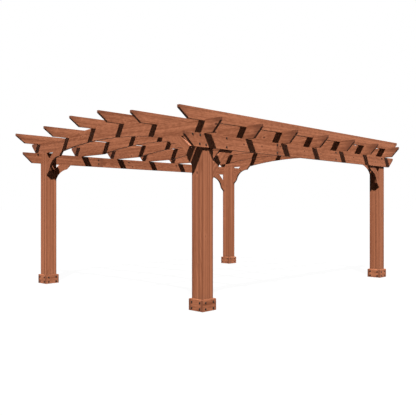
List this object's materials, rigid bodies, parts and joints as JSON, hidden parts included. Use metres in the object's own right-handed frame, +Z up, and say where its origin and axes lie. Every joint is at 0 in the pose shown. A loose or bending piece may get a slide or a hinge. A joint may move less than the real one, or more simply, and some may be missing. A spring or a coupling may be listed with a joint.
{
  "type": "timber pergola",
  "caption": "Free-standing timber pergola: square posts with boxed feet, two side beams, arched rafters, straight purlins with slant-cut tails, and curved knee braces.",
  "frame": {"origin": "on the ground, at the centre of the rectangle of the four posts", "axes": "+Z up, +X along the beams and purlins, +Y along the rafters from the front pair of posts to the back pair"},
  "size_m": [5.41, 4.216, 2.491],
  "materials": {
    "roof_wood": "semi-transparent reddish brown stain, matt",
    "post_wood": "semi-transparent reddish brown stain, matt",
    "collar_wood": "semi-transparent reddish brown stain, matt"
  },
  "bodies": {
    "root": {"rafter_1": "roof_wood", "rafter_2": "roof_wood", "rafter_3": "roof_wood", "rafter_4": "roof_wood", "rafter_5": "roof_wood", "rafter_6": "roof_wood", "rafter_7": "roof_wood", "purlin_1": "roof_wood", "purlin_2": "roof_wood", "purlin_3": "roof_wood", "purlin_4": "roof_wood", "purlin_5": "roof_wood", "purlin_6": "roof_wood", "beam_front_left": "roof_wood", "beam_front_right": "roof_wood", "beam_back_left": "roof_wood", "beam_back_right": "roof_wood", "post_front_left": "post_wood", "collar_front_left_x": "collar_wood", "collar_front_left_y": "collar_wood", "brace_front_left_x": "roof_wood", "brace_front_left_y": "roof_wood", "post_front_right": "post_wood", "collar_front_right_x": "collar_wood", "collar_front_right_y": "collar_wood", "brace_front_right_x": "roof_wood", "brace_front_right_y": "roof_wood", "post_back_left": "post_wood", "collar_back_left_x": "collar_wood", "collar_back_left_y": "collar_wood", "brace_back_left_x": "roof_wood", "brace_back_left_y": "roof_wood", "post_back_right": "post_wood", "collar_back_right_x": "collar_wood", "collar_back_right_y": "collar_wood", "brace_back_right_x": "roof_wood", "brace_back_right_y": "roof_wood"}
  },
  "joints": []
}
